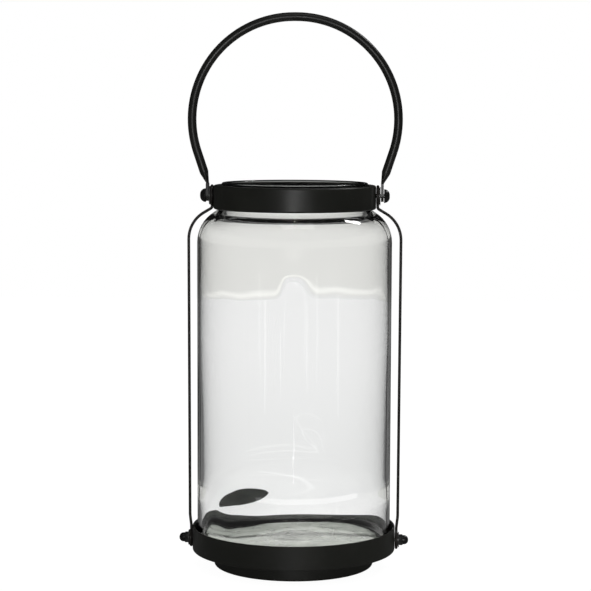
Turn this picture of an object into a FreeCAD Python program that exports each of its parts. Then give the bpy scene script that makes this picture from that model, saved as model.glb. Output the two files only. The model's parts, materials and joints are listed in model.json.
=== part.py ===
import FreeCAD, Part
import math
import os
import re

import Sketcher
from FreeCAD import Placement, Rotation, Vector

# Glass jar lantern. A blown glass jar stands in a stepped steel base, and a steel collar
# grips its neck. A spring wire on each side ties the collar to the base, and a bail handle
# swings on the collar's two studs.
# Millimetres, +Z up, origin at the centre of the underside, studs along X.

SIZES = {
    # steel sheet of the collar, the band and the pan
    "sheet": 1.4,
    # base, from the floor up
    "foot_radius": 6.0,
    "foot_circle": 50.0,
    "foot_height": 0.6,
    "pan_radius": 64.3,
    "pan_round": 1.6,
    "pan_flange": 57.0,
    "step_height": 13.2,
    "band_radius": 82.0,
    "band_top": 32.5,
    "band_round": 0.8,
    "band_rim_round": 0.6,
    "ledge_radius": 58.5,
    "rivet_circle": 61.0,
    "rivet_radius": 1.2,
    "rivet_head_radius": 1.7,
    "rivet_head_height": 0.7,
    "seat_inner": 65.0,
    "seat_outer": 75.0,
    "seat_height": 1.5,
    # jar
    "jar_radius": 78.0,
    "jar_wall": 2.8,
    "jar_floor": 6.3,
    "jar_heel": 7.0,
    "jar_inner_heel": 13.0,
    "punt_radius": 56.0,
    "punt_rise": 3.5,
    "punt_crown": 30.0,
    "shoulder_height": 277.9,
    "shoulder_round": 28.0,
    "neck_height": 290.3,
    "neck_radius": 58.5,
    "neck_round": 1.2,
    "jar_top": 310.2,
    "lip_round": 1.1,
    # collar and gasket
    "collar_radius": 65.0,
    "collar_bottom": 289.1,
    "collar_top": 308.1,
    "collar_round": 1.3,
    "collar_flange": 59.6,
    "collar_hem": 62.4,
    "gasket_radius": 61.5,
    "gasket_bottom": 292.0,
    # studs, measured along X from the sheet that each one is riveted through
    "pivot_height": 299.7,
    "base_stud_height": 21.0,
    "shank_radius": 1.6,
    "shank_fit": 0.05,
    "rivet_gap": 0.15,
    "stud_head_radius": 3.2,
    "stud_head_length": 1.1,
    "boss_length": 2.6,
    "washer_inset": 0.25,
    "washer_length": 0.8,
    # handle, its tongues and their knobs
    "handle_radius": 3.5,
    "handle_top": 441.6,
    "handle_corner": 113.8,
    "handle_bend": 81.3,
    "leg_foot": 72.7,
    "leg_height": 318.2,
    "tongue_place": 69.95,
    "tongue_top": 309.5,
    "tongue_thickness": 2.2,
    "tongue_radius": 4.6,
    "knob_radius": 5.5,
    "knob_start": 71.35,
    "knob_tip": 75.9,
    "knob_round": 4.5,
    "knob_skin": 1.1,
    # side wires
    "wire_radius": 1.15,
    "collar_eye": 7.6,
    "base_eye": 6.45,
    "eye_gap": 0.1,
    "wire_reach": 85.2,
    "wire_shoulder": 278.5,
    "wire_shoulder_round": 24.8,
    "wire_neck": 289.7,
    "wire_neck_round": 2.2,
    "wire_foot": 84.4,
    "joggle_top": 40.0,
    "joggle_bottom": 31.0,
    "joggle_round": 20.0,
    # acorn nuts of the base studs
    "nut_across": 8.0,
    "nut_corner": 4.6,
    "nut_chamfer": 0.5,
    "nut_length": 3.2,
    "dome_radius": 3.7,
    "dome_round": 3.4,
    "acorn_length": 7.6,
}
SIDES = {"left": 180, "right": 0}

doc = FreeCAD.newDocument("jar_lantern")
sheet = doc.addObject("Spreadsheet::Sheet", "Sizes")
nodes = []


def fill_sheet():
    for row, (name, millimetres) in enumerate(SIZES.items(), start=1):
        sheet.set(f"A{row}", name)
        sheet.set(f"B{row}", str(millimetres))
        sheet.setAlias(f"B{row}", name)
    doc.recompute()


def number(expression):
    """Value of a sum or difference of sizes, such as "band_radius - sheet"."""
    total = 0.0
    for term in expression.replace("- ", "+ -").split("+"):
        name = term.strip()
        sign = -1 if name.startswith("-") else 1
        name = name.lstrip("-").strip()
        total += sign * (SIZES[name] if name in SIZES else float(name))
    return total


def cells(expression):
    """The same expression in terms of the sheet's cells."""
    return re.sub(r"[a-z]\w*", r"Sizes.\g<0>", expression)


def keep(piece, name):
    piece.Label = name
    nodes.append(piece)
    return piece


# ---- sketches ---------------------------------------------------------------------------

def new_body(name):
    return keep(doc.addObject("PartDesign::Body", name), name)


def new_sketch(body, plane, name):
    """Sketch on one of the body's own origin planes: XY, XZ or YZ."""
    sketch = body.newObject("Sketcher::SketchObject", f"{body.Name}_{name}")
    for feature in body.Origin.OriginFeatures:
        if feature.Role == f"{plane}_Plane":
            sketch.AttachmentSupport = (feature, [""])
    sketch.MapMode = "FlatFace"
    return sketch


def bind(sketch, constraint, expression):
    index = sketch.addConstraint(constraint)
    sketch.setExpression(f"Constraints[{index}]", cells(expression))


def place_point(sketch, geometry, end, across, up):
    for kind, expression in (("DistanceX", across), ("DistanceY", up)):
        value = number(expression)
        if value:
            bind(sketch, Sketcher.Constraint(kind, -1, 1, geometry, end, value), expression)
        else:
            axis = -2 if kind == "DistanceX" else -1
            sketch.addConstraint(Sketcher.Constraint("PointOnObject", geometry, end, axis))


def outline(sketch, corners, closed=True):
    """Straight edges through the corners in order.

    A corner is two expressions, across and up, and a third one rounds it to that radius.
    """
    spots = [Vector(number(corner[0]), number(corner[1]), 0) for corner in corners]
    radii = [number(corner[2]) if len(corner) > 2 else 0 for corner in corners]
    count = len(corners)
    entries = list(spots)
    exits = list(spots)
    for i, radius in enumerate(radii):
        if radius:
            back = (spots[i - 1] - spots[i]).normalize()
            ahead = (spots[(i + 1) % count] - spots[i]).normalize()
            reach = radius / math.tan(back.getAngle(ahead) / 2)
            entries[i] = spots[i] + back * reach
            exits[i] = spots[i] + ahead * reach
    edge_count = count if closed else count - 1
    for i in range(edge_count):
        sketch.addGeometry(Part.LineSegment(exits[i], entries[(i + 1) % count]))
    for i, corner in enumerate(corners):
        if radii[i]:
            round_corner(sketch, corner, (i - 1) % count, i, (entries[i], spots[i], exits[i]))
        elif closed or 0 < i < count - 1:
            sketch.addConstraint(Sketcher.Constraint("Coincident", (i - 1) % count, 2, i, 1))
            place_point(sketch, i, 1, corner[0], corner[1])
        elif i == 0:
            place_point(sketch, 0, 1, corner[0], corner[1])
        else:
            place_point(sketch, i - 1, 2, corner[0], corner[1])


def round_corner(sketch, corner, before, after, spots):
    """Arc between two edges, held by the sharp corner's place and by its radius."""
    entry, sharp, leave = spots
    radius = number(corner[2])
    middle = (entry + leave) * 0.5
    centre = sharp + (middle - sharp) * ((entry - sharp).Length ** 2 + radius ** 2) ** 0.5 * (
        1 / (middle - sharp).Length)
    turns_left = (sharp - entry).cross(leave - sharp).z > 0
    first, last = (entry, leave) if turns_left else (leave, entry)
    angles = [math.atan2(spot.y - centre.y, spot.x - centre.x) for spot in (first, last)]
    circle = Part.Circle(centre, Vector(0, 0, 1), radius)
    arc = sketch.addGeometry(Part.ArcOfCircle(circle, angles[0], angles[1]))
    arc_entry, arc_exit = (1, 2) if turns_left else (2, 1)
    sketch.addConstraint(Sketcher.Constraint("Tangent", before, 2, arc, arc_entry))
    sketch.addConstraint(Sketcher.Constraint("Tangent", arc, arc_exit, after, 1))
    bind(sketch, Sketcher.Constraint("Radius", arc, radius), corner[2])
    point = sketch.addGeometry(Part.Point(sharp))
    sketch.toggleConstruction(point)
    sketch.addConstraint(Sketcher.Constraint("PointOnObject", point, 1, before))
    sketch.addConstraint(Sketcher.Constraint("PointOnObject", point, 1, after))
    place_point(sketch, point, 1, corner[0], corner[1])


def circle_outline(sketch, across, up, radius):
    spot = Vector(number(across), number(up), 0)
    circle = sketch.addGeometry(Part.Circle(spot, Vector(0, 0, 1), number(radius)))
    place_point(sketch, circle, 3, across, up)
    bind(sketch, Sketcher.Constraint("Radius", circle, number(radius)), radius)


def hexagon_outline(sketch, across_flats):
    """Hexagon about the sketch's origin with two flats level."""
    flat = number(across_flats) / 2
    corner = flat / math.cos(math.radians(30))
    spots = [Vector(corner * math.cos(math.radians(60 * i)), corner * math.sin(math.radians(60 * i)), 0)
             for i in range(6)]
    first = sketch.addGeometry(Part.LineSegment(spots[0], spots[1]))
    for i in range(1, 6):
        sketch.addGeometry(Part.LineSegment(spots[i], spots[(i + 1) % 6]))
    guide = sketch.addGeometry(Part.Circle(Vector(), Vector(0, 0, 1), corner), True)
    sketch.addConstraint(Sketcher.Constraint("Coincident", guide, 3, -1, 1))
    for i in range(6):
        here = first + i
        after = first + (i + 1) % 6
        sketch.addConstraint(Sketcher.Constraint("Coincident", here, 2, after, 1))
        sketch.addConstraint(Sketcher.Constraint("PointOnObject", here, 2, guide))
        if i:
            sketch.addConstraint(Sketcher.Constraint("Equal", first, here))
    sketch.addConstraint(Sketcher.Constraint("Horizontal", first + 1))
    bind(sketch, Sketcher.Constraint("Distance", guide, 3, first + 1, flat), f"{across_flats} / 2")


# ---- features ---------------------------------------------------------------------------

def revolve(body, sketch, axis, kind="Revolution"):
    feature = body.newObject(f"PartDesign::{kind}", f"{sketch.Name}_turned")
    feature.Profile = sketch
    feature.ReferenceAxis = (sketch, [axis])
    feature.Angle = 360
    return feature


def ring(name, corners):
    """Body of revolution about Z; the corners give radius and height."""
    body = new_body(name)
    sketch = new_sketch(body, "XZ", "profile")
    outline(sketch, corners)
    revolve(body, sketch, "V_Axis")
    return body


def turned(name, corners, side, height):
    """Body of revolution about a level stud axis; the corners give place along X and radius."""
    body = new_body(f"{name}_{side}")
    sketch = new_sketch(body, "XZ", "profile")
    outline(sketch, corners)
    revolve(body, sketch, "H_Axis")
    put_on_side(body, side, height)
    return body


def put_on_side(body, side, height=None):
    body.Placement = Placement(Vector(), Rotation(Vector(0, 0, 1), SIDES[side]))
    if height:
        body.setExpression("Placement.Base.z", cells(height))


# ---- base -------------------------------------------------------------------------------

def make_base_band():
    ring("base_band", [
        ("ledge_radius", "step_height"),
        ("band_radius", "step_height", "band_round"),
        ("band_radius", "band_top", "band_rim_round"),
        ("band_radius - sheet", "band_top", "band_rim_round"),
        ("band_radius - sheet", "step_height + sheet"),
        ("ledge_radius", "step_height + sheet"),
    ])


def make_base_pan():
    ring("base_pan", [
        ("0", "foot_height"),
        ("pan_radius", "foot_height", "pan_round"),
        ("pan_radius", "step_height", "sheet"),
        ("pan_flange", "step_height"),
        ("pan_flange", "step_height - sheet"),
        ("pan_radius - sheet", "step_height - sheet"),
        ("pan_radius - sheet", "foot_height + sheet", "pan_round - sheet"),
        ("0", "foot_height + sheet"),
    ])


def cylinder(name, radius, length, circle, angle, bottom):
    """Upright cylinder on a circle about the lantern's axis, at an angle in degrees."""
    piece = doc.addObject("Part::Cylinder", name)
    piece.setExpression("Radius", cells(radius))
    piece.setExpression("Height", cells(length))
    piece.setExpression("Placement.Base.x", f"({cells(circle)}) * cos({angle})")
    piece.setExpression("Placement.Base.y", f"({cells(circle)}) * sin({angle})")
    piece.setExpression("Placement.Base.z", cells(bottom))
    return piece


def group(name, pieces):
    compound = doc.addObject("Part::Compound", name)
    compound.Links = pieces
    return keep(compound, name)


def make_foot_pads():
    group("foot_pads", [
        cylinder(f"foot_pad_{angle}", "foot_radius", "foot_height", "foot_circle", angle, "0")
        for angle in (0, 90, 180, 270)
    ])


def make_pan_rivets():
    """Rivets through the band's ledge and the pan's flange."""
    rivets = []
    for angle in (45, 135, 225, 315):
        shank = cylinder(f"rivet_shank_{angle}", "rivet_radius", "sheet + sheet", "rivet_circle",
                         angle, "step_height - sheet")
        heads = [
            cylinder(f"rivet_head_{angle}_{place}", "rivet_head_radius", "rivet_head_height",
                     "rivet_circle", angle, bottom)
            for place, bottom in (("top", "step_height + sheet"),
                                  ("tail", "step_height - sheet - rivet_head_height"))
        ]
        rivet = doc.addObject("Part::MultiFuse", f"rivet_{angle}")
        rivet.Shapes = [shank, *heads]
        rivets.append(rivet)
    group("pan_rivets", rivets)


def drill_rivet_holes(body_name, top, depth):
    """Holes for the rivets, in the band's ledge or the pan's flange."""
    body = doc.getObject(body_name)
    sketch = new_sketch(body, "XY", "rivet_holes")
    sketch.setExpression("AttachmentOffset.Base.z", cells(top))
    for angle in (45, 135, 225, 315):
        x = number("rivet_circle") * math.cos(math.radians(angle))
        y = number("rivet_circle") * math.sin(math.radians(angle))
        radius = number("rivet_radius")
        hole = sketch.addGeometry(Part.Circle(Vector(x, y, 0), Vector(0, 0, 1), radius))
        bind(sketch, Sketcher.Constraint("Radius", hole, radius), "rivet_radius")
        for kind, value, function in (("DistanceX", x, "cos"), ("DistanceY", y, "sin")):
            index = sketch.addConstraint(Sketcher.Constraint(kind, -1, 1, hole, 3, value))
            sketch.setExpression(f"Constraints[{index}]", f"Sizes.rivet_circle * {function}({angle})")
    doc.recompute()
    pocket = body.newObject("PartDesign::Pocket", f"{body_name}_rivet_pocket")
    pocket.Profile = sketch
    pocket.setExpression("Length", cells(depth))
    body.Tip = pocket


def make_jar_seat_pad():
    ring("jar_seat_pad", [
        ("seat_inner", "step_height + sheet"),
        ("seat_outer", "step_height + sheet"),
        ("seat_outer", "step_height + sheet + seat_height"),
        ("seat_inner", "step_height + sheet + seat_height"),
    ])


# ---- jar, collar and gasket -------------------------------------------------------------

def make_glass_jar():
    jar_base = "step_height + sheet + seat_height"
    inner = "jar_radius - jar_wall"
    ring("glass_jar", [
        ("0", f"{jar_base} + punt_rise"),
        ("punt_crown", f"{jar_base} + punt_rise", "punt_crown"),
        ("punt_radius", jar_base, "jar_heel"),
        ("jar_radius", jar_base, "jar_heel"),
        ("jar_radius", "shoulder_height", "shoulder_round"),
        ("neck_radius", "neck_height", "neck_round"),
        ("neck_radius", "jar_top", "lip_round"),
        ("neck_radius - jar_wall", "jar_top", "lip_round"),
        ("neck_radius - jar_wall", "neck_height - jar_wall", "neck_round + jar_wall"),
        (inner, "shoulder_height - jar_wall", "shoulder_round - jar_wall - jar_wall"),
        (inner, f"{jar_base} + jar_floor", "jar_inner_heel"),
        ("punt_crown", f"{jar_base} + jar_floor + punt_rise", "punt_crown"),
        ("0", f"{jar_base} + jar_floor + punt_rise"),
    ])


def make_top_collar():
    ring("top_collar", [
        ("collar_hem", "collar_bottom"),
        ("collar_radius", "collar_bottom", "collar_round"),
        ("collar_radius", "collar_top", "collar_round"),
        ("collar_flange", "collar_top"),
        ("collar_flange", "collar_top - sheet"),
        ("collar_radius - sheet", "collar_top - sheet"),
        ("collar_radius - sheet", "collar_bottom + sheet"),
        ("collar_hem", "collar_bottom + sheet"),
    ])


def make_neck_gasket():
    ring("neck_gasket", [
        ("neck_radius", "gasket_bottom"),
        ("gasket_radius", "gasket_bottom"),
        ("gasket_radius", "collar_top - sheet"),
        ("neck_radius", "collar_top - sheet"),
    ])


def drill_stud_holes(body_name, height):
    """One cross hole through both sides of a ring, for its two studs."""
    body = doc.getObject(body_name)
    sketch = new_sketch(body, "YZ", "stud_holes")
    circle_outline(sketch, "0", height, "shank_radius")
    doc.recompute()
    pocket = body.newObject("PartDesign::Pocket", f"{body_name}_stud_pocket")
    pocket.Profile = sketch
    pocket.Type = "ThroughAll"
    pocket.Midplane = True
    body.Tip = pocket


# ---- studs and what is threaded on them -------------------------------------------------

def make_stud(name, side, wall_radius, height, eye, tip):
    """Shoulder stud riveted through a sheet; its boss fills the side wire's eye.

    wall_radius is the sheet's outer radius, and eye is the radius of the eye's own centre line.
    """
    boss_radius = f"{eye} - wire_radius - eye_gap"
    inside = f"{wall_radius} - sheet - rivet_gap"
    boss = f"{wall_radius} + eye_gap"
    turned(name, [
        (f"{inside} - stud_head_length", "0"),
        (f"{inside} - stud_head_length", "stud_head_radius", "stud_head_length - rivet_gap"),
        (inside, "stud_head_radius"),
        (inside, "shank_radius"),
        (boss, "shank_radius"),
        (boss, boss_radius),
        (f"{boss} + boss_length", boss_radius),
        (f"{boss} + boss_length", "shank_radius"),
        (tip, "shank_radius"),
        (tip, "0"),
    ], side, height)


def make_washer(name, side, wall_radius, height, eye):
    start = f"{wall_radius} + eye_gap + boss_length"
    bore = "shank_radius + shank_fit"
    turned(name, [
        (start, bore),
        (start, f"{eye} - washer_inset"),
        (f"{start} + washer_length", f"{eye} - washer_inset"),
        (f"{start} + washer_length", bore),
    ], side, height)


def make_handle_knob(side):
    bore = "shank_radius + shank_fit"
    turned("handle_knob", [
        ("knob_start", bore),
        ("knob_start", "knob_radius"),
        ("knob_tip", "knob_radius", "knob_round"),
        ("knob_tip", "0"),
        ("knob_tip - knob_skin", "0"),
        ("knob_tip - knob_skin", bore),
    ], side, "pivot_height")


def make_acorn_nut(side):
    """Turned blank with a blind bore, then six flats."""
    start = "band_radius + eye_gap + boss_length + washer_length"
    tip = f"{start} + acorn_length"
    bore = "shank_radius + shank_fit"
    body = turned("base_acorn_nut", [
        (start, bore),
        (start, "nut_corner - nut_chamfer"),
        (f"{start} + nut_chamfer", "nut_corner"),
        (f"{start} + nut_length - nut_chamfer", "nut_corner"),
        (f"{start} + nut_length", "dome_radius"),
        (tip, "dome_radius", "dome_round"),
        (tip, "0"),
        (f"{tip} - knob_skin", "0"),
        (f"{tip} - knob_skin", bore),
    ], side, "base_stud_height")
    sketch = new_sketch(body, "YZ", "flats")
    sketch.setExpression("AttachmentOffset.Base.z", cells(start))
    circle_outline(sketch, "0", "0", "nut_across")
    hexagon_outline(sketch, "nut_across")
    doc.recompute()
    flats = body.newObject("PartDesign::Pocket", f"{body.Name}_flats_cut")
    flats.Profile = sketch
    flats.Reversed = True
    flats.setExpression("Length", cells("nut_length"))
    body.Tip = flats


def make_side_wire(side):
    """Round wire with a closed eye at each end, bent over the jar's shoulder."""
    body = new_body(f"side_wire_{side}")
    top_eye = "collar_radius + eye_gap + eye_gap + wire_radius"
    base_eye = "band_radius + eye_gap + eye_gap + wire_radius"
    path = new_sketch(body, "XZ", "path")
    outline(path, [
        (top_eye, "pivot_height - collar_eye"),
        (top_eye, "wire_neck", "wire_neck_round"),
        ("wire_reach", "wire_shoulder", "wire_shoulder_round"),
        ("wire_foot", "joggle_top", "joggle_round"),
        (base_eye, "joggle_bottom", "joggle_round"),
        (base_eye, "base_stud_height + base_eye"),
    ], closed=False)
    section = new_sketch(body, "XY", "section")
    section.setExpression("AttachmentOffset.Base.z", cells("pivot_height - collar_eye"))
    circle_outline(section, top_eye, "0", "wire_radius")
    doc.recompute()
    wire = body.newObject("PartDesign::AdditivePipe", f"{body.Name}_wire")
    wire.Profile = section
    wire.Spine = path
    # each eye is turned from its far side, so that its seam stays clear of the wire
    for place, across, height, far_side in (
            ("collar_eye", top_eye, "pivot_height", "collar_eye"),
            ("base_eye", base_eye, "base_stud_height", "0 - base_eye")):
        eye_section = new_sketch(body, "XZ", place)
        eye_section.setExpression("AttachmentOffset.Base.y", cells(height))
        circle_outline(eye_section, across, far_side, "wire_radius")
        revolve(body, eye_section, "H_Axis")
    put_on_side(body, side)


# ---- handle -----------------------------------------------------------------------------

def make_bail_handle():
    """Half an arch with a flattened tongue, mirrored, then drilled for the studs."""
    body = new_body("bail_handle")
    path = new_sketch(body, "XZ", "path")
    outline(path, [
        ("0", "handle_top"),
        ("handle_corner", "handle_top", "handle_bend"),
        ("leg_foot", "leg_height"),
    ], closed=False)
    section = new_sketch(body, "YZ", "section")
    circle_outline(section, "0", "handle_top", "handle_radius")
    doc.recompute()
    arch = body.newObject("PartDesign::AdditivePipe", "handle_arch")
    arch.Profile = section
    arch.Spine = path

    leg_end = new_sketch(body, "XY", "leg_end")
    leg_end.AttachmentOffset = Placement(Vector(), Rotation(Vector(0, 1, 0), 1))
    leg_end.setExpression("AttachmentOffset.Base.x", cells("leg_foot"))
    leg_end.setExpression("AttachmentOffset.Base.z", cells("leg_height"))
    leg_end.setExpression("AttachmentOffset.Rotation.Angle", "atan(({}) / ({}))".format(
        cells("handle_corner - leg_foot"), cells("handle_top - leg_height")))
    circle_outline(leg_end, "0", "0", "handle_radius")
    tongue_end = new_sketch(body, "XY", "tongue_end")
    tongue_end.setExpression("AttachmentOffset.Base.z", cells("tongue_top"))
    ellipse_outline(tongue_end, "tongue_place", "tongue_radius", "tongue_thickness")
    doc.recompute()
    taper = body.newObject("PartDesign::AdditiveLoft", "handle_taper")
    taper.Profile = leg_end
    taper.Sections = [tongue_end]

    face = new_sketch(body, "YZ", "tongue")
    face.setExpression("AttachmentOffset.Base.z", "Sizes.tongue_place - Sizes.tongue_thickness / 2")
    slot_outline(face)
    tongue = body.newObject("PartDesign::Pad", "handle_tongue")
    tongue.Profile = face
    tongue.setExpression("Length", cells("tongue_thickness"))
    doc.recompute()

    both = body.newObject("PartDesign::Mirrored", "handle_both_sides")
    both.Originals = [arch, taper, tongue]
    for feature in body.Origin.OriginFeatures:
        if feature.Role == "YZ_Plane":
            both.MirrorPlane = (feature, [""])
    body.Tip = both
    doc.recompute()

    eye = new_sketch(body, "YZ", "eyes")
    circle_outline(eye, "0", "pivot_height", "shank_radius + shank_fit")
    drill = body.newObject("PartDesign::Pocket", "handle_eyes")
    drill.Profile = eye
    drill.Type = "ThroughAll"
    drill.Midplane = True
    body.Tip = drill


def ellipse_outline(sketch, across, long_radius, thickness):
    """Ellipse on the sketch's level axis, long way up, short way across."""
    centre = Vector(number(across), 0, 0)
    top = centre + Vector(0, number(long_radius), 0)
    side = centre + Vector(number(thickness) / 2, 0, 0)
    ellipse = sketch.addGeometry(Part.Ellipse(top, side, centre))
    sketch.exposeInternalGeometry(ellipse)
    major, minor = ellipse + 1, ellipse + 2
    place_point(sketch, ellipse, 3, across, "0")
    sketch.addConstraint(Sketcher.Constraint("Vertical", major))
    bind(sketch, Sketcher.Constraint("Distance", major, 1, major, 2, 2 * number(long_radius)),
         f"{long_radius} * 2")
    bind(sketch, Sketcher.Constraint("Distance", minor, 1, minor, 2, number(thickness)), thickness)


def slot_outline(sketch):
    """The tongue's face: straight sides, and a half-round end about the pivot."""
    radius = number("tongue_radius")
    pivot = number("pivot_height")
    top = number("tongue_top")
    end = Part.Circle(Vector(0, pivot, 0), Vector(0, 0, 1), radius)
    sketch.addGeometry([
        Part.LineSegment(Vector(-radius, top, 0), Vector(-radius, pivot, 0)),
        Part.ArcOfCircle(end, math.pi, 2 * math.pi),
        Part.LineSegment(Vector(radius, pivot, 0), Vector(radius, top, 0)),
        Part.LineSegment(Vector(radius, top, 0), Vector(-radius, top, 0)),
    ])
    sketch.addConstraint([
        Sketcher.Constraint("Tangent", 0, 2, 1, 1),
        Sketcher.Constraint("Tangent", 1, 2, 2, 1),
        Sketcher.Constraint("Coincident", 2, 2, 3, 1),
        Sketcher.Constraint("Coincident", 3, 2, 0, 1),
        Sketcher.Constraint("Vertical", 0),
        Sketcher.Constraint("Horizontal", 3),
    ])
    bind(sketch, Sketcher.Constraint("Radius", 1, radius), "tongue_radius")
    place_point(sketch, 1, 3, "0", "pivot_height")
    bind(sketch, Sketcher.Constraint("DistanceY", -1, 1, 3, 1, top), "tongue_top")


# ---- the whole lantern ------------------------------------------------------------------

def check_and_write():
    doc.recompute()
    for piece in doc.Objects:
        if "Invalid" in piece.State or "Error" in piece.State:
            raise RuntimeError(f"{piece.Label} failed: {piece.State}")
    for piece in nodes:
        if piece.Shape.isNull() or not piece.Shape.isValid():
            raise RuntimeError(f"{piece.Label} has no valid shape")
    os.makedirs("parts", exist_ok=True)
    for piece in nodes:
        piece.Shape.exportStep(f"parts/{piece.Label}.step")
        print(piece.Label, len(piece.Shape.Solids), round(piece.Shape.Volume, 1))


fill_sheet()
make_base_band()
make_base_pan()
doc.recompute()
drill_rivet_holes("base_band", "step_height + sheet", "sheet")
drill_rivet_holes("base_pan", "step_height", "sheet")
drill_stud_holes("base_band", "base_stud_height")
make_foot_pads()
make_pan_rivets()
make_jar_seat_pad()
make_glass_jar()
make_top_collar()
doc.recompute()
drill_stud_holes("top_collar", "pivot_height")
make_neck_gasket()
for lantern_side in SIDES:
    make_stud("collar_stud", lantern_side, "collar_radius", "pivot_height", "collar_eye",
              "knob_tip - knob_skin - rivet_gap")
    make_washer("pivot_washer", lantern_side, "collar_radius", "pivot_height", "collar_eye")
    make_handle_knob(lantern_side)
    make_stud("base_stud", lantern_side, "band_radius", "base_stud_height", "base_eye",
              "band_radius + boss_length + washer_length + acorn_length - knob_skin - rivet_gap")
    make_washer("base_washer", lantern_side, "band_radius", "base_stud_height", "base_eye")
    make_acorn_nut(lantern_side)
    make_side_wire(lantern_side)
make_bail_handle()
check_and_write()
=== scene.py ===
import json
import math

import bmesh
import bpy
from mathutils import Matrix, Vector, noise


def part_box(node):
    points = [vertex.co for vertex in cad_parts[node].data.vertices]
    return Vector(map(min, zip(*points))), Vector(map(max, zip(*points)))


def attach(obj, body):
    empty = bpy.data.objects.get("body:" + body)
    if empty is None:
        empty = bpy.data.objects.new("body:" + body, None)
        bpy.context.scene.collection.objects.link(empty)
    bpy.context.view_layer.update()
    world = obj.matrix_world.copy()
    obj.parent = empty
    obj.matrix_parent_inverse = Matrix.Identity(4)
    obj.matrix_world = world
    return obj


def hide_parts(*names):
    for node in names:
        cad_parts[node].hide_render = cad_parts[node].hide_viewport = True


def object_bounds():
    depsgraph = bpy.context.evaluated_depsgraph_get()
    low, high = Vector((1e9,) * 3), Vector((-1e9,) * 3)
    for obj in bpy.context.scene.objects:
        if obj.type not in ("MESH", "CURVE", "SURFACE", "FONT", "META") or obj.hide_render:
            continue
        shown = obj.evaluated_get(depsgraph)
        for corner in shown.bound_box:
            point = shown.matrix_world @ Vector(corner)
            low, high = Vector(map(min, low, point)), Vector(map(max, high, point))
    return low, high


# Glass jar lantern: a blown jar between a steel collar and a stepped steel base, tied by two
# side wires, with a bail handle. Everything here is in metres, in the frame's own axes.

MM = 0.001
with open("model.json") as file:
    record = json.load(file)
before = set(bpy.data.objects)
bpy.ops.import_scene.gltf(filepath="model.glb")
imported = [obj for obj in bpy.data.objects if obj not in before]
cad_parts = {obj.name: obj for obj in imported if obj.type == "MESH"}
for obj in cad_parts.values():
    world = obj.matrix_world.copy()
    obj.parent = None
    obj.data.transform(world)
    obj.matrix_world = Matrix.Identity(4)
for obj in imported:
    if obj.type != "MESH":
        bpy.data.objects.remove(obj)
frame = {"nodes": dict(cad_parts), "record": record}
cad_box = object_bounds()

# ---- sizes read from the frame ----------------------------------------------------------

jar_low, jar_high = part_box("glass_jar")
JAR_RADIUS = jar_high.x
JAR_BASE = jar_low.z
JAR_TOP = jar_high.z

# ---- camera -----------------------------------------------------------------------------

# lens and sensor in millimetres, pitch, azimuth and roll in degrees
SENSOR = 36.0
LENS = 120.2
CAMERA_DISTANCE = 1.5785
CAMERA_HEIGHT = 0.3745
CAMERA_PITCH = 5.61
CAMERA_AZIMUTH = 2.5
CAMERA_ROLL = 0.21
CAMERA_ASIDE = 0.86 * MM


def make_camera():
    data = bpy.data.cameras.new("camera")
    data.lens = LENS
    data.sensor_width = SENSOR
    camera = bpy.data.objects.new("camera", data)
    bpy.context.scene.collection.objects.link(camera)
    turn = Matrix.Rotation(math.radians(CAMERA_AZIMUTH), 4, "Z")
    tilt = Matrix.Rotation(math.radians(90 - CAMERA_PITCH), 4, "X")
    roll = Matrix.Rotation(math.radians(CAMERA_ROLL), 4, "Z")
    spot = Matrix.Translation((CAMERA_ASIDE, -CAMERA_DISTANCE, CAMERA_HEIGHT))
    camera.matrix_world = turn @ spot @ tilt @ roll
    bpy.context.scene.camera = camera


make_camera()

# ---- node helpers -----------------------------------------------------------------------

def node_tree(owner):
    owner.use_nodes = True
    owner.node_tree.nodes.clear()
    return owner.node_tree


def add(tree, kind, inputs=None, **settings):
    """New shader node; inputs maps a socket's name or number to a value or to another socket."""
    node = tree.nodes.new(f"ShaderNode{kind}")
    for name, value in settings.items():
        setattr(node, name, value)
    for name, value in (inputs or {}).items():
        if isinstance(value, bpy.types.NodeSocket):
            tree.links.new(value, node.inputs[name])
        else:
            node.inputs[name].default_value = value
    return node


def ramp(tree, value, low, high, start, end):
    """Smooth step from start to end as value goes from low to high."""
    return add(tree, "MapRange", {"Value": value, "From Min": low, "From Max": high,
                                  "To Min": start, "To Max": end},
               interpolation_type="SMOOTHSTEP").outputs["Result"]


def maths(tree, operation, *values):
    return add(tree, "Math", dict(enumerate(values)), operation=operation).outputs[0]


# ---- studio -----------------------------------------------------------------------------

# elevations and blurs in degrees, brightnesses with white as 1; VEIL_CUT is the share of the
# light from below that is kept out of reflections in the glass
HORIZON = -5.7
HORIZON_BLUR = 0.12
LEDGE_BRIGHT = 0.22
LEDGE_HALF = 0.16
CEILING_START = 20
CEILING_END = 36
LOW_BRIGHT = 1.0
VEIL_CUT = 0.85
VEIL_START = 2
VEIL_FULL = -1
HIGH_BRIGHT = 0.95
CEILING_BRIGHT = 0.02
HIGH_COLOUR = (1.0, 0.998, 0.968, 1)
GLOSS_LEVEL = 0.02
FILL_LEVEL = 0.5
FLOOR_HALF = 2.15
FLOOR_GLOW = 0.97
FLOOR_COLOUR = (0.12, 0.12, 0.12, 1)


def by_ray(tree, camera, through, gloss, fill):
    """One shader of four: for the eye, through glass, in a reflection, and as soft fill light."""
    path = add(tree, "LightPath").outputs
    mix = add(tree, "MixShader", {0: path["Is Glossy Ray"], 1: fill, 2: gloss}).outputs[0]
    mix = add(tree, "MixShader", {0: path["Is Transmission Ray"], 1: mix, 2: through}).outputs[0]
    return add(tree, "MixShader", {0: path["Is Camera Ray"], 1: mix, 2: camera}).outputs[0]


def once_reflected(tree):
    """1 for light that a surface has mirrored on its way, else 0."""
    return maths(tree, "MINIMUM", add(tree, "LightPath").outputs["Glossy Depth"], 1.0)


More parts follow.
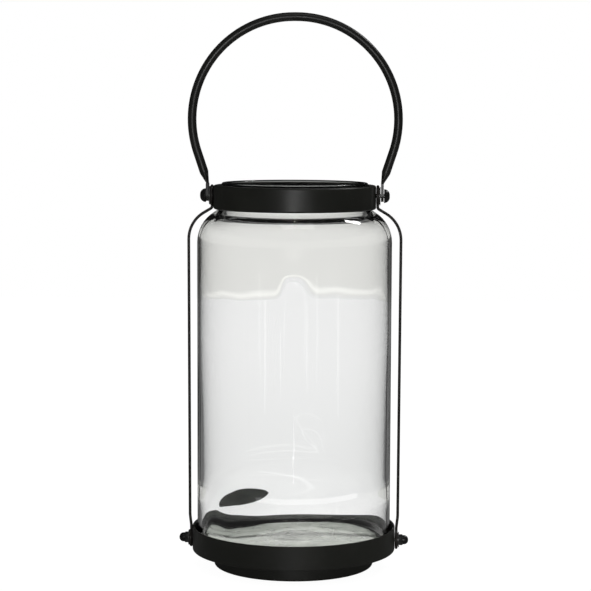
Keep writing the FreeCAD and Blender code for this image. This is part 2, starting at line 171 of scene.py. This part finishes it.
def light_of(tree, kind, strength, colour=(1, 1, 1, 1)):
    return add(tree, kind, {"Color": colour, "Strength": strength}).outputs[0]


def make_world():
    """White cove all round, a little dimmer above the table's far edge, under a dark ceiling."""
    world = bpy.data.worlds.new("studio")
    bpy.context.scene.world = world
    tree = node_tree(world)
    place = add(tree, "TexCoord").outputs["Generated"]
    height = add(tree, "SeparateXYZ", {0: place}).outputs["Z"]
    degrees = maths(tree, "MULTIPLY", maths(tree, "ARCSINE", height), 180 / math.pi)
    low = ramp(tree, degrees, HORIZON - HORIZON_BLUR, HORIZON + HORIZON_BLUR, 1, 0)
    ceiling = ramp(tree, degrees, CEILING_START, CEILING_END, HIGH_BRIGHT, CEILING_BRIGHT)
    off_ledge = maths(tree, "ABSOLUTE", maths(tree, "SUBTRACT", degrees, HORIZON + LEDGE_HALF))
    ledge = ramp(tree, off_ledge, 0, LEDGE_HALF, LEDGE_BRIGHT, 0)
    falling = maths(tree, "MULTIPLY", once_reflected(tree), ramp(tree, degrees, VEIL_FULL, VEIL_START, 1, 0))
    kept = maths(tree, "SUBTRACT", 1.0, maths(tree, "MULTIPLY", falling, VEIL_CUT))
    high = maths(tree, "MULTIPLY", maths(tree, "ADD", ceiling, ledge), kept)
    through = add(tree, "MixShader", {
        0: low,
        1: light_of(tree, "Background", high, HIGH_COLOUR),
        2: light_of(tree, "Background", maths(tree, "MULTIPLY", kept, LOW_BRIGHT))}).outputs[0]
    shader = by_ray(tree, light_of(tree, "Background", 1.0), through,
                    light_of(tree, "Background", GLOSS_LEVEL), light_of(tree, "Background", FILL_LEVEL))
    add(tree, "OutputWorld", {"Surface": shader})


def make_light(name, azimuth, height, distance, size, power, in_glass=True):
    """Soft panel that faces the lantern's middle; azimuth 0 is the front, -Y."""
    data = bpy.data.lights.new(name, "AREA")
    data.shape = "RECTANGLE"
    data.size, data.size_y = size
    data.energy = power
    light = bpy.data.objects.new(name, data)
    bpy.context.scene.collection.objects.link(light)
    a = math.radians(azimuth)
    light.location = (math.sin(a) * distance, -math.cos(a) * distance, height)
    middle = (cad_box[0] + cad_box[1]) / 2
    light.rotation_euler = (light.location - middle).to_track_quat("Z", "Y").to_euler()
    light.visible_camera = False
    light.visible_transmission = in_glass
    return light


def light_only(light, pieces):
    """Let a light fall on these pieces alone."""
    lit = bpy.data.collections.new(f"{light.name}_falls_on")
    for piece in pieces:
        lit.objects.link(piece)
    light.light_linking.receiver_collection = lit


def make_floor():
    """White table top, lit as bright as the cove."""
    mesh = bpy.data.meshes.new("floor")
    corners = [(x * FLOOR_HALF, y * FLOOR_HALF, 0) for x, y in ((-1, -1), (1, -1), (1, 1), (-1, 1))]
    mesh.from_pydata(corners, [], [(0, 1, 2, 3)])
    floor = bpy.data.objects.new("floor", mesh)
    bpy.context.scene.collection.objects.link(floor)
    material = bpy.data.materials.new("white_table")
    tree = node_tree(material)
    through = maths(tree, "SUBTRACT", LOW_BRIGHT, maths(tree, "MULTIPLY", once_reflected(tree), VEIL_CUT))
    glow = by_ray(tree, light_of(tree, "Emission", FLOOR_GLOW), light_of(tree, "Emission", through),
                  light_of(tree, "Emission", GLOSS_LEVEL), light_of(tree, "Emission", FILL_LEVEL))
    paint = add(tree, "BsdfDiffuse", {"Color": FLOOR_COLOUR}).outputs[0]
    add(tree, "OutputMaterial", {"Surface": add(tree, "AddShader", {0: glow, 1: paint}).outputs[0]})
    mesh.materials.append(material)


RING_RADIUS = 345 * MM
RING_HEIGHT = 12 * MM
RING_ENDS = (math.radians(-75), math.radians(38))
RING_TUBE = 2.5 * MM
RING_POINTS = 24
RING_BRIGHT = 2.2


def make_ring_light():
    """Thin arc of light low in front of the lantern, which draws a soft loop in the glass."""
    curve = bpy.data.curves.new("ring_light", "CURVE")
    curve.dimensions = "3D"
    curve.bevel_depth = RING_TUBE
    spline = curve.splines.new("NURBS")
    spline.points.add(RING_POINTS - 1)
    first, last = RING_ENDS
    for i, point in enumerate(spline.points):
        a = math.pi + first + (last - first) * i / (RING_POINTS - 1)
        point.co = (RING_RADIUS * math.sin(a), RING_RADIUS * math.cos(a), RING_HEIGHT, 1)
    spline.use_endpoint_u = True
    ring = bpy.data.objects.new("ring_light", curve)
    bpy.context.scene.collection.objects.link(ring)
    material = bpy.data.materials.new("ring_glow")
    tree = node_tree(material)
    clear = add(tree, "BsdfTransparent").outputs[0]
    glow = light_of(tree, "Emission", RING_BRIGHT)
    shader = add(tree, "MixShader", {0: once_reflected(tree), 1: clear, 2: glow})
    add(tree, "OutputMaterial", {"Surface": shader.outputs[0]})
    curve.materials.append(material)
    ring.visible_camera = False
    ring.visible_shadow = False


# soft panels: azimuth in degrees, height, distance and size in metres, and power in watts
FLASH = (2.5, 0.33, 1.7, (0.12, 0.12), 6)
RIGHT_RIM = (122, 1.7, 1.3, (0.30, 0.45), 8)
TOP_SOFT = (10, 1.9, 0.6, (0.9, 0.6), 3)
DOWN_LAMP = (0, 1.8, 0.02, (0.03, 0.03), 34)

bpy.context.scene.view_settings.view_transform = "Standard"
make_world()
make_floor()
make_ring_light()
light_only(make_light("flash", *FLASH), frame["nodes"].values())
make_light("right_rim", *RIGHT_RIM, in_glass=False)
make_light("top_soft", *TOP_SOFT, in_glass=False)

# small lights seen as dots and streaks in the glass: azimuth in degrees, height, distance,
# width and length in mm, and brightness
GLINTS = (
    (3, 154, 1600, 9, 9, 60),
    (4, 93, 1600, 7, 7, 30),
    (4, 51, 1600, 7, 7, 30),
    (3, 60, 400, 2.5, 2.5, 30),
    (3, 51, 400, 2.5, 2.5, 30),
    (2, 42, 400, 2.5, 2.5, 25),
    (2, 24, 400, 2, 18, 12),
    (-29, 130, 450, 12, 110, 1.3),
    (-12, 120, 450, 5, 70, 1.5),
    (16, 140, 450, 6, 90, 1.5),
    (51, 130, 450, 12, 120, 1.2),
)
for number, (azimuth, height, distance, wide, tall, bright) in enumerate(GLINTS):
    power = bright * math.pi * wide * tall * MM * MM
    size = (wide * MM, tall * MM)
    glint = make_light(f"glint_{number}", azimuth, height * MM, distance * MM, size, power)
    glint.rotation_euler = (math.pi / 2, 0, math.radians(azimuth))

# ---- blown jar --------------------------------------------------------------------------

JAR_WALL = 2.8 * MM
JAR_FLOOR = 6.3 * MM
HEEL_ROUND = 7 * MM
INNER_HEEL_ROUND = 6 * MM
PUNT_RADIUS = 56 * MM
PUNT_RISE = 3.5 * MM
PUNT_CROWN = 30 * MM
INNER_RISE = 1.5 * MM
SHOULDER_HEIGHT = JAR_TOP - 32.3 * MM
SHOULDER_ROUND = 28 * MM
NECK_HEIGHT = JAR_TOP - 19.9 * MM
NECK_RADIUS = 58.5 * MM
NECK_ROUND = 1.2 * MM
LIP_ROUND = 1.1 * MM
JAR_SEGMENTS = 192
ARC_STEP = math.radians(7)
RUN_STEP = 4 * MM


def rounded(corners):
    """Points along straight runs between (across, up, round) corners, with each round an arc."""
    spots = [Vector(corner[:2]) for corner in corners]
    points = [spots[0]]
    for before, spot, after, corner in zip(spots, spots[1:], spots[2:], corners[1:]):
        back = (before - spot).normalized()
        ahead = (after - spot).normalized()
        half = back.angle(ahead) / 2
        reach = corner[2] / math.tan(half)
        centre = spot + (back + ahead).normalized() * corner[2] / math.sin(half)
        start = spot + back * reach - centre
        turn = start.angle_signed(spot + ahead * reach - centre)
        steps = max(2, round(abs(turn) / ARC_STEP))
        for i in range(steps + 1):
            angle = -turn * i / steps
            points.append(centre + Matrix.Rotation(angle, 2) @ start)
    points.append(spots[-1])
    return points


def divided(points, step):
    """The same line with its long runs cut into steps."""
    fine = [points[0]]
    for start, end in zip(points, points[1:]):
        count = max(1, round((end - start).length / step))
        fine += [start.lerp(end, i / count) for i in range(1, count + 1)]
    return fine


def jar_outside():
    """Outer face, from the middle of the underside to the lip's outer edge."""
    return divided(rounded([
        (0, JAR_BASE + PUNT_RISE),
        (PUNT_CROWN, JAR_BASE + PUNT_RISE, PUNT_CROWN),
        (PUNT_RADIUS, JAR_BASE, HEEL_ROUND),
        (JAR_RADIUS, JAR_BASE, HEEL_ROUND),
        (JAR_RADIUS, SHOULDER_HEIGHT, SHOULDER_ROUND),
        (NECK_RADIUS, NECK_HEIGHT, NECK_ROUND),
        (NECK_RADIUS, JAR_TOP, LIP_ROUND),
        (NECK_RADIUS - JAR_WALL / 2, JAR_TOP),
    ]), RUN_STEP)


def jar_inside():
    """Inner face, from the lip down to the middle of the floor."""
    wall = JAR_RADIUS - JAR_WALL
    floor = JAR_BASE + JAR_FLOOR
    return divided(rounded([
        (NECK_RADIUS - JAR_WALL / 2, JAR_TOP),
        (NECK_RADIUS - JAR_WALL, JAR_TOP, LIP_ROUND),
        (NECK_RADIUS - JAR_WALL, NECK_HEIGHT - JAR_WALL, NECK_ROUND + JAR_WALL),
        (wall, SHOULDER_HEIGHT - JAR_WALL, SHOULDER_ROUND - 2 * JAR_WALL),
        (wall, floor, INNER_HEEL_ROUND),
        (PUNT_CROWN, floor + INNER_RISE, PUNT_CROWN),
        (0, floor + INNER_RISE),
    ]), RUN_STEP / 2)


def bell(value, spread):
    return math.exp(-(value / spread) ** 2 / 2)


SWELL_LOW = 49 * MM
SWELL_CREST = 74 * MM
SWELL_HIGH = 190 * MM
SWELL = 2.0 * MM


def swell(z):
    """How much thicker than its plain size the wall is at a height: most near the bottom."""
    if z < SWELL_CREST:
        rise = max(0.0, (z - SWELL_LOW) / (SWELL_CREST - SWELL_LOW))
    else:
        rise = max(0.0, (SWELL_HIGH - z) / (SWELL_HIGH - SWELL_CREST))
    return SWELL * rise * rise * (3 - 2 * rise)


# thick and thin spots of the wall: angle from the front in degrees and height in mm, spread to
# the left and right in degrees, spread above and below in mm, rise to the right in mm per
# degree, and thickness in mm
LENSES = (
    (-33, 57, (22, 18), (10.0, 36.0), 0.25, 4.82),
    (2.5, 246, (7, 5), (12, 12), 0.0, -0.7),
)


def lens(angle, z):
    """Thickness that the spots add. Each one ends bluntly on its left and fades on its right."""
    total = 0.0
    for at, height, (left, right), (above, below), tilt, thick in LENSES:
        turn = (math.degrees(angle) - at + 180) % 360 - 180
        up = z / MM - height - tilt * turn
        along = math.exp(-(turn / left) ** 4) if turn < 0 else bell(turn, right)
        total += thick * MM * along * bell(up, above if up > 0 else below)
    return total


WAVE_LENGTH = 60 * MM
WAVES_AROUND = 1.6
WAVE_DEPTH = 0.10 * MM
WAVELET_DEPTH = 0.015 * MM
WAVELET_FINER = 3.1


def ripple(angle, z):
    """Long soft waves of hand-blown glass."""
    around = Vector((math.sin(angle), math.cos(angle), 0)) * WAVES_AROUND
    spot = around + Vector((0, 0, z / WAVE_LENGTH))
    return WAVE_DEPTH * noise.noise(spot) + WAVELET_DEPTH * noise.noise(spot * WAVELET_FINER)


FLOOR_FLAT = 68 * MM
FLOOR_EDGE_FADE = 12 * MM
FLOOR_MIDDLE_FADE = 4 * MM
SWIRL_LENGTH = 16 * MM
SWIRL_LEAN = 3.0
SWIRL_DEPTH = 0.30 * MM
CURL_DEPTH = 0.08 * MM
CURL_FINER = 2.7


def floor_ripple(angle, radius):
    """Swirls in the jar's floor, which die away at its middle and its edge."""
    fade = min(1.0, (FLOOR_FLAT - radius) / FLOOR_EDGE_FADE) * min(1.0, radius / FLOOR_MIDDLE_FADE)
    spot = Vector((math.sin(angle), math.cos(angle), SWIRL_LEAN)) * radius / SWIRL_LENGTH
    return fade * (SWIRL_DEPTH * noise.noise(spot) + CURL_DEPTH * noise.noise(spot * CURL_FINER))


WALL_FADE_ACROSS = 10 * MM
WALL_FADE_UP = 20 * MM
ON_AXIS = 0.001 * MM


def inner_spot(across, up, angle):
    """Radius and height of the inner face at an angle, with its uneven wall and floor."""
    radius = across
    if up < SHOULDER_HEIGHT:
        fade = max(0.0, min(1.0, (across - PUNT_RADIUS) / WALL_FADE_ACROSS))
        fade *= min(1.0, (SHOULDER_HEIGHT - up) / WALL_FADE_UP)
        radius -= fade * (swell(up) + lens(angle, up) + ripple(angle, up))
    on_floor = radius < FLOOR_FLAT and up < SWELL_LOW
    lift = floor_ripple(angle, radius) if on_floor else 0.0
    return radius, up + lift


def jar_ring(shape, across, up, is_inside):
    """Vertices of one turn round the jar, or its one vertex on the axis."""
    if across < ON_AXIS:
        return [shape.verts.new((0, 0, up))]
    ring = []
    for i in range(JAR_SEGMENTS):
        angle = 2 * math.pi * i / JAR_SEGMENTS
        radius, height = inner_spot(across, up, angle) if is_inside else (across, up)
        ring.append(shape.verts.new((radius * math.sin(angle), -radius * math.cos(angle), height)))
    return ring


def blown_jar():
    """The glass jar with an even outside and the uneven inside of a blown one."""
    shape = bmesh.new()
    rings = [jar_ring(shape, *point, is_inside=False) for point in jar_outside()]
    rings += [jar_ring(shape, *point, is_inside=True) for point in jar_inside()[1:]]
    for lower, upper in zip(rings, rings[1:]):
        for i in range(JAR_SEGMENTS):
            j = (i + 1) % JAR_SEGMENTS
            corners = [lower[i % len(lower)], lower[j % len(lower)],
                       upper[j % len(upper)], upper[i % len(upper)]]
            shape.faces.new(list(dict.fromkeys(corners)))
    bmesh.ops.recalc_face_normals(shape, faces=shape.faces)
    mesh = bpy.data.meshes.new("blown_jar")
    shape.to_mesh(mesh)
    shape.free()
    mesh.shade_smooth()
    jar = bpy.data.objects.new("blown_jar", mesh)
    bpy.context.scene.collection.objects.link(jar)
    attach(jar, "lantern")
    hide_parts("glass_jar")
    return jar


# ---- materials --------------------------------------------------------------------------

def bumped(tree, place, grain, strength, depth):
    """Surface relief of soft noise, with its grain size and depth in metres."""
    relief = add(tree, "TexNoise", {"Vector": place, "Scale": 1 / grain, "Detail": 3.0}).outputs["Fac"]
    return add(tree, "Bump", {"Height": relief, "Strength": strength, "Distance": depth}).outputs[0]


def blend(tree, factor, first, second):
    """Colour between two, each a socket or an (r, g, b) value."""
    colours = [part if isinstance(part, bpy.types.NodeSocket) else (*part, 1) for part in (first, second)]
    return add(tree, "Mix", {0: factor, 6: colours[0], 7: colours[1]}, data_type="RGBA").outputs[2]


PEEL_STRENGTH = 0.12
PEEL_DEPTH = 0.1 * MM
CLOUDS_PER_METRE = 40.0
GLOSS_SPREAD = 0.05
DUST_PER_METRE = 18.0
DUST_LIGHTER = 1.5
WORN_STEEL = (0.06, 0.06, 0.058)
COAT_SPECULAR = 0.35


def painted_steel(name, colour, roughness, grain, worn=0.0):
    """Black coating on steel: fine orange peel, cloudy gloss, dust in patches, and rubbed edges."""
    material = bpy.data.materials.new(name)
    tree = node_tree(material)
    place = add(tree, "TexCoord").outputs["Object"]
    bump = bumped(tree, place, grain, PEEL_STRENGTH, PEEL_DEPTH)
    cloud = add(tree, "TexNoise", {"Vector": place, "Scale": CLOUDS_PER_METRE, "Detail": 4.0}).outputs["Fac"]
    gloss = ramp(tree, cloud, 0.3, 0.7, roughness - GLOSS_SPREAD, roughness + GLOSS_SPREAD)
    dust = add(tree, "TexNoise", {"Vector": place, "Scale": DUST_PER_METRE, "Detail": 6.0}).outputs["Fac"]
    lighter = tuple(DUST_LIGHTER * part for part in colour)
    coat = blend(tree, ramp(tree, dust, 0.45, 0.75, 0, 1), colour, lighter)
    sharp = add(tree, "NewGeometry").outputs["Pointiness"]
    steel = blend(tree, ramp(tree, sharp, 0.53, 0.62, 0, worn), coat, WORN_STEEL)
    shader = add(tree, "BsdfPrincipled", {"Base Color": steel, "Roughness": gloss, "Normal": bump,
                                          "Specular IOR Level": COAT_SPECULAR})
    add(tree, "OutputMaterial", {"Surface": shader.outputs[0]})
    return material


GRAIN_STRENGTH = 0.6
SPECK_LIGHTER = 1.8


def soft_black(name, colour, roughness, grain, depth, sheen=0.0):
    """Moulded rubber or pressed felt: matt, with a grain that the light catches."""
    material = bpy.data.materials.new(name)
    tree = node_tree(material)
    place = add(tree, "TexCoord").outputs["Object"]
    bump = bumped(tree, place, grain, GRAIN_STRENGTH, depth)
    speck = add(tree, "TexNoise", {"Vector": place, "Scale": 1 / grain, "Detail": 5.0}).outputs["Fac"]
    lighter = tuple(SPECK_LIGHTER * part for part in colour)
    mixed = blend(tree, ramp(tree, speck, 0.4, 0.7, 0, 1), colour, lighter)
    shader = add(tree, "BsdfPrincipled", {"Base Color": mixed, "Roughness": roughness,
                                          "Sheen Weight": sheen, "Normal": bump})
    add(tree, "OutputMaterial", {"Surface": shader.outputs[0]})
    return material


GLASS_ABSORPTION = 32.0
GLASS_TINT = (0.45, 0.475, 0.455, 1)
# painted shade: the top of the lip is coloured dark, standing in for the dark that the lip shows against its
# surroundings
LIP_SHADE_START = JAR_TOP - 2.2 * MM
LIP_SHADE_FULL = JAR_TOP - 1.4 * MM
LIP_SHADE_SHARE = 0.8
LIP_PAINTED_SHADE = (0.02, 0.028, 0.022)
# painted light: a pale diffuse film on the jar's floor, lit by its own lamp, stands in for the brightness
# seen in the glass floor; it thins in a round middle mark, which is painted shade
PAINTED_LIGHT_SHARE = 0.42
PAINTED_LIGHT_COLOUR = (0.72, 0.76, 0.69, 1)
PAINTED_LIGHT_BOTTOM = JAR_BASE + 4.5 * MM
PAINTED_LIGHT_TOP = JAR_BASE + 11 * MM
SHADE_MARK_INNER = 18 * MM
SHADE_MARK_OUTER = 27 * MM


def floor_painted_light(tree, place):
    """Share of painted light on the glass: a pale film on the jar's floor, patchy, thinner in a round middle
    mark that paints shade, clear elsewhere.
    """
    split = add(tree, "SeparateXYZ", {0: place}).outputs
    across = add(tree, "CombineXYZ", {0: split["X"], 1: split["Y"]}).outputs[0]
    radius = add(tree, "VectorMath", {0: across}, operation="LENGTH").outputs["Value"]
    floor = maths(tree, "MULTIPLY", ramp(tree, split["Z"], PAINTED_LIGHT_BOTTOM, PAINTED_LIGHT_BOTTOM + 1 * MM, 0, 1),
                  ramp(tree, split["Z"], PAINTED_LIGHT_TOP - 2 * MM, PAINTED_LIGHT_TOP, 1, 0))
    edge = ramp(tree, radius, FLOOR_FLAT - 1 * MM, FLOOR_FLAT + 2 * MM, 1, 0)
    floor = maths(tree, "MULTIPLY", floor, edge)
    swirl = add(tree, "TexNoise", {"Vector": place, "Scale": 45.0, "Detail": 3.0, "Distortion": 1.2})
    mottle = ramp(tree, swirl.outputs["Fac"], 0.3, 0.7, 0.7, 1.0)
    # painted shade: the film thins towards the middle of the floor
    shade_mark = ramp(tree, radius, SHADE_MARK_INNER, SHADE_MARK_OUTER, 0.6, 1.0)
    patches = maths(tree, "MULTIPLY", mottle, shade_mark)
    return maths(tree, "MULTIPLY", maths(tree, "MULTIPLY", floor, PAINTED_LIGHT_SHARE), patches)


def clear_glass():
    """Clear soda glass that absorbs a little, with painted shade on its lip and painted light, a pale film,
    on its floor.
    """
    material = bpy.data.materials.new("clear_glass")
    tree = node_tree(material)
    place = add(tree, "TexCoord").outputs["Object"]
    height = add(tree, "SeparateXYZ", {0: place}).outputs["Z"]
    # painted shade on the lip: darker towards the top
    lip_shade = blend(tree, ramp(tree, height, LIP_SHADE_START, LIP_SHADE_FULL, 0, LIP_SHADE_SHARE), (1, 1, 1), LIP_PAINTED_SHADE)
    glass = add(tree, "BsdfPrincipled", {"Base Color": lip_shade, "Roughness": 0.0,
                                         "IOR": 1.5, "Transmission Weight": 1.0}).outputs[0]
    # the painted light on the jar's floor
    painted_light = add(tree, "BsdfDiffuse", {"Color": PAINTED_LIGHT_COLOUR}).outputs[0]
    shader = add(tree, "MixShader", {0: floor_painted_light(tree, place), 1: glass, 2: painted_light})
    inside = add(tree, "VolumeAbsorption", {"Color": GLASS_TINT, "Density": GLASS_ABSORPTION})
    add(tree, "OutputMaterial", {"Surface": shader.outputs[0], "Volume": inside.outputs[0]})
    return material


SLOT_MATERIALS = {
    "black_sheet_steel": painted_steel("sheet_powder_coat", colour=(0.0088, 0.0092, 0.0072),
                                       roughness=0.40, grain=0.6 * MM, worn=0.35),
    "black_bar_steel": painted_steel("bar_powder_coat", colour=(0.0080, 0.0080, 0.0070),
                                     roughness=0.37, grain=0.5 * MM, worn=0.2),
    "black_wire": painted_steel("coated_wire", colour=(0.0120, 0.0100, 0.0085),
                                roughness=0.42, grain=0.3 * MM),
    "black_fasteners": painted_steel("black_enamel", colour=(0.0060, 0.0060, 0.0060),
                                     roughness=0.28, grain=0.4 * MM, worn=0.5),
    "black_rubber": soft_black("black_rubber", colour=(0.0100, 0.0100, 0.0100),
                               roughness=0.8, grain=0.4 * MM, depth=0.05 * MM),
    "grey_felt": soft_black("grey_felt", colour=(0.045, 0.045, 0.045),
                            roughness=1.0, grain=0.15 * MM, depth=0.15 * MM, sheen=0.3),
    "clear_glass": clear_glass(),
}
for part in frame["record"]["subparts"]:
    node = frame["nodes"][part["node"]]
    node.data.materials.clear()
    node.data.materials.append(SLOT_MATERIALS[part["material_slot"]])
jar = blown_jar()
jar.data.materials.append(SLOT_MATERIALS["clear_glass"])
light_only(make_light("down_lamp", *DOWN_LAMP, in_glass=False), [jar])
